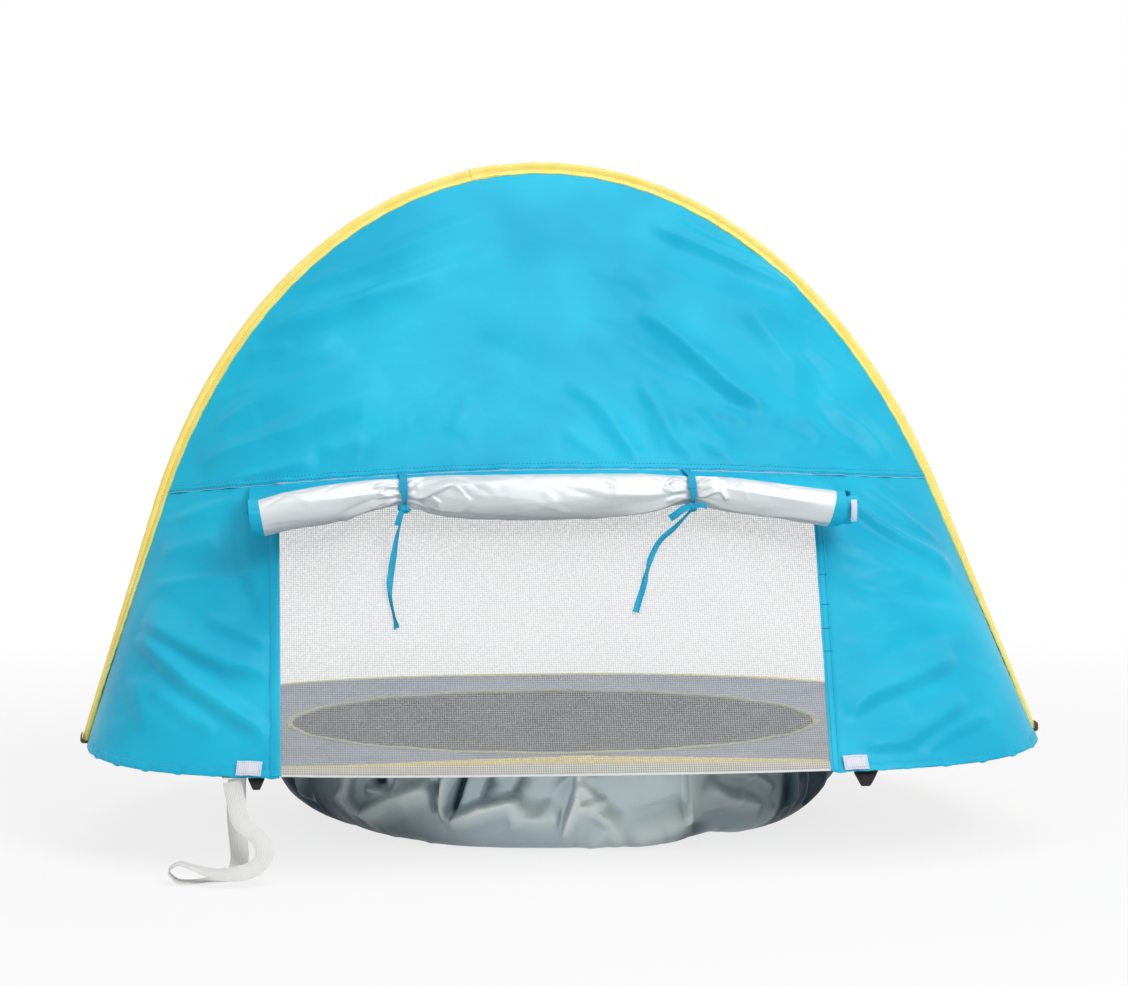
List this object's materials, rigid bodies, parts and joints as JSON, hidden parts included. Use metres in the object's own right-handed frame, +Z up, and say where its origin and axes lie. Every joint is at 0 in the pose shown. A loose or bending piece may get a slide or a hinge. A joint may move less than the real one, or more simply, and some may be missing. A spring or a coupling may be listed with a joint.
{
  "type": "pop-up pool tent",
  "caption": "Pop-up beach tent: a leaning wire arch holds a fabric rear wall with a mesh window under a rolled cover, and a slack pool basin hangs below an opening in the floor",
  "frame": {"origin": "on the ground, under the middle of the tent without its storage strap, in the plane of the basin's flat base", "axes": "+Z up, +X to the right seen from behind the tent, +Y towards the open front, so the rear wall with the window faces -Y"},
  "size_m": [1.1756, 0.8589, 0.8273],
  "materials": {
    "sky_polyester": "light-blue coated polyester, soft sheen",
    "yellow_binding": "pale-yellow folded binding tape, matt, double stitched",
    "silver_coating": "silver-coated side of the polyester, low metallic sheen",
    "pool_coating": "grey-silver waterproof coating, slack and creased, soft sheen",
    "floor_cloth": "blue-grey woven floor cloth, matt",
    "white_net": "fine white polyester mesh, matt",
    "white_elastic": "ribbed white elastic webbing, matt",
    "hook_tape": "bluish-white hook tape, matt",
    "black_webbing": "black woven webbing, matt",
    "spring_steel": "oiled spring-steel wire, hidden in the sleeves",
    "toe_plastic": "moulded toe cap on the wire's end"
  },
  "bodies": {
    "base": {"floor_sheet": "floor_cloth", "floor_sleeve": "yellow_binding", "floor_wire": "spring_steel", "floor_crimp": "spring_steel", "floor_binding_lap": "yellow_binding", "pool_basin": "pool_coating", "pool_rim_binding": "yellow_binding", "foot_pocket_left": "black_webbing", "foot_pocket_right": "black_webbing", "stake_tack_left": "black_webbing", "stake_tack_right": "black_webbing", "hook_tab_left": "hook_tape", "hook_tab_right": "hook_tape", "storage_strap": "white_elastic", "strap_tack": "white_elastic"},
    "back_wall": {"wall_panel_upper": "sky_polyester", "wall_panel_left": "sky_polyester", "wall_panel_right": "sky_polyester", "window_mesh": "white_net", "window_hem_tape": "white_net", "seam_tape": "sky_polyester", "window_tape_left": "sky_polyester", "window_tape_right": "sky_polyester", "cover_roll": "silver_coating", "cover_hem_left": "sky_polyester", "cover_hem_right": "sky_polyester", "cover_hook_right": "hook_tape", "cover_tie_left": "sky_polyester", "cover_tie_right": "sky_polyester", "tie_knot_left": "sky_polyester", "tie_knot_right": "sky_polyester", "tie_tail_left": "sky_polyester", "tie_tail_right": "sky_polyester"},
    "arch": {"arch_sleeve": "yellow_binding", "arch_wire": "spring_steel", "arch_crimp": "spring_steel", "arch_binding_lap": "yellow_binding", "toe_cap_left": "toe_plastic", "toe_cap_right": "toe_plastic"},
    "stake_loop_left": {"stake_loop_left": "black_webbing"},
    "stake_loop_right": {"stake_loop_right": "black_webbing"}
  },
  "joints": [
    {"name": "wall_fold", "type": "hinge", "parent": "base", "child": "back_wall", "pos_m": [0, -0.1623, 0.1305], "axis": [1, 0, 0], "range_deg": [0, 70], "stiffness_Nm_per_rad": 1, "springref_deg": -11.46, "deforming": ["wall_panel_left", "wall_panel_right", "window_mesh", "window_tape_left", "window_tape_right", "window_hem_tape", "seam_tape", "tie_tail_left", "tie_tail_right"]},
    {"name": "arch_fold", "type": "hinge", "parent": "back_wall", "child": "arch", "pos_m": [0, -0.1623, 0.1305], "axis": [1, 0, 0], "range_deg": [0, 30], "deforming": ["wall_panel_upper"]},
    {"name": "stake_loop_left_swing", "type": "hinge", "parent": "base", "child": "stake_loop_left", "pos_m": [-0.3742, -0.3701, 0.112], "axis": [1, 0, 0], "range_deg": [-40, 40]},
    {"name": "stake_loop_right_swing", "type": "hinge", "parent": "base", "child": "stake_loop_right", "pos_m": [0.337, -0.378, 0.112], "axis": [1, 0, 0], "range_deg": [-40, 40]}
  ],
  "couplings": [
    {"joint": "arch_fold", "follows": "wall_fold", "ratio": 0.42}
  ]
}
